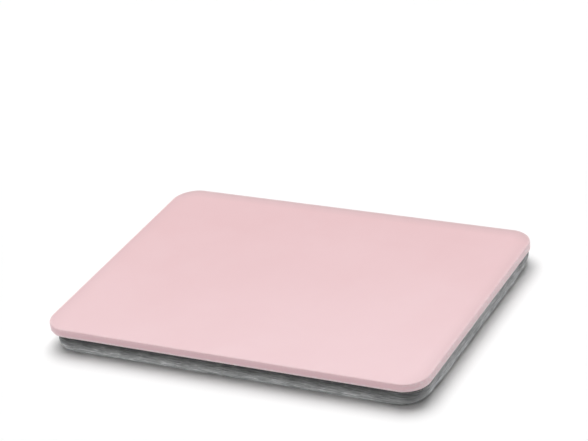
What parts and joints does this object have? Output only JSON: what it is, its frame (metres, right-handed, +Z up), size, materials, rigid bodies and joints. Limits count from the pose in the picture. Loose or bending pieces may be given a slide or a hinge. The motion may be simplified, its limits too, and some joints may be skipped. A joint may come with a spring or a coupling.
{
  "type": "lap desk",
  "caption": "Flat lap desk: a smooth film-covered board with rounded corners, held by hook-and-loop strips on a thin foam cushion in a zipped grey cloth cover.",
  "frame": {"origin": "on the table, below the middle of the board, at the lowest face of the cushion", "axes": "+X along the board's width to the right, +Y to the back, +Z up"},
  "size_m": [0.433, 0.322, 0.0272],
  "materials": {
    "pink_film": "satin",
    "fibreboard": "matte",
    "backing": "matte",
    "hook_tape": "matte",
    "loop_tape": "matte",
    "grey_cloth": "matte",
    "foam": "matte",
    "zip_tape": "matte",
    "zip_teeth": "satin",
    "zip_metal": "satin"
  },
  "bodies": {
    "cushion": {"cover_top_panel": "grey_cloth", "cover_side_wall": "grey_cloth", "cover_bottom_panel": "grey_cloth", "foam_core": "foam", "loop_strip_front": "loop_tape", "loop_strip_back": "loop_tape", "loop_strip_left": "loop_tape", "loop_strip_right": "loop_tape", "zip_tape_upper": "zip_tape", "zip_tape_lower": "zip_tape", "zip_teeth_upper": "zip_teeth", "zip_teeth_lower": "zip_teeth", "zip_clip_upper": "zip_metal", "zip_clip_lower": "zip_metal", "zip_end_block": "zip_metal"},
    "board": {"board_core": "fibreboard", "top_skin": "pink_film", "backing_sheet": "backing", "hook_strip_front": "hook_tape", "hook_strip_back": "hook_tape", "hook_strip_left": "hook_tape", "hook_strip_right": "hook_tape"},
    "zip_slider_body": {"zip_slider": "zip_metal"},
    "zip_pull_body": {"zip_pull": "zip_metal"}
  },
  "joints": [
    {"name": "board_lift", "type": "slide", "parent": "cushion", "child": "board", "axis": [0, 0, 1], "range_m": [0, 0.06]},
    {"name": "zip_slide", "type": "slide", "parent": "cushion", "child": "zip_slider_body", "axis": [-1, 0, 0], "range_m": [0, 0.3184], "deforming": ["zip_teeth_upper", "zip_teeth_lower", "zip_tape_upper", "zip_tape_lower"]},
    {"name": "pull_swing", "type": "hinge", "parent": "zip_slider_body", "child": "zip_pull_body", "pos_m": [0.1613, 0.1593, 0.0082], "axis": [0, 0, -1], "range_deg": [0, 180]}
  ]
}
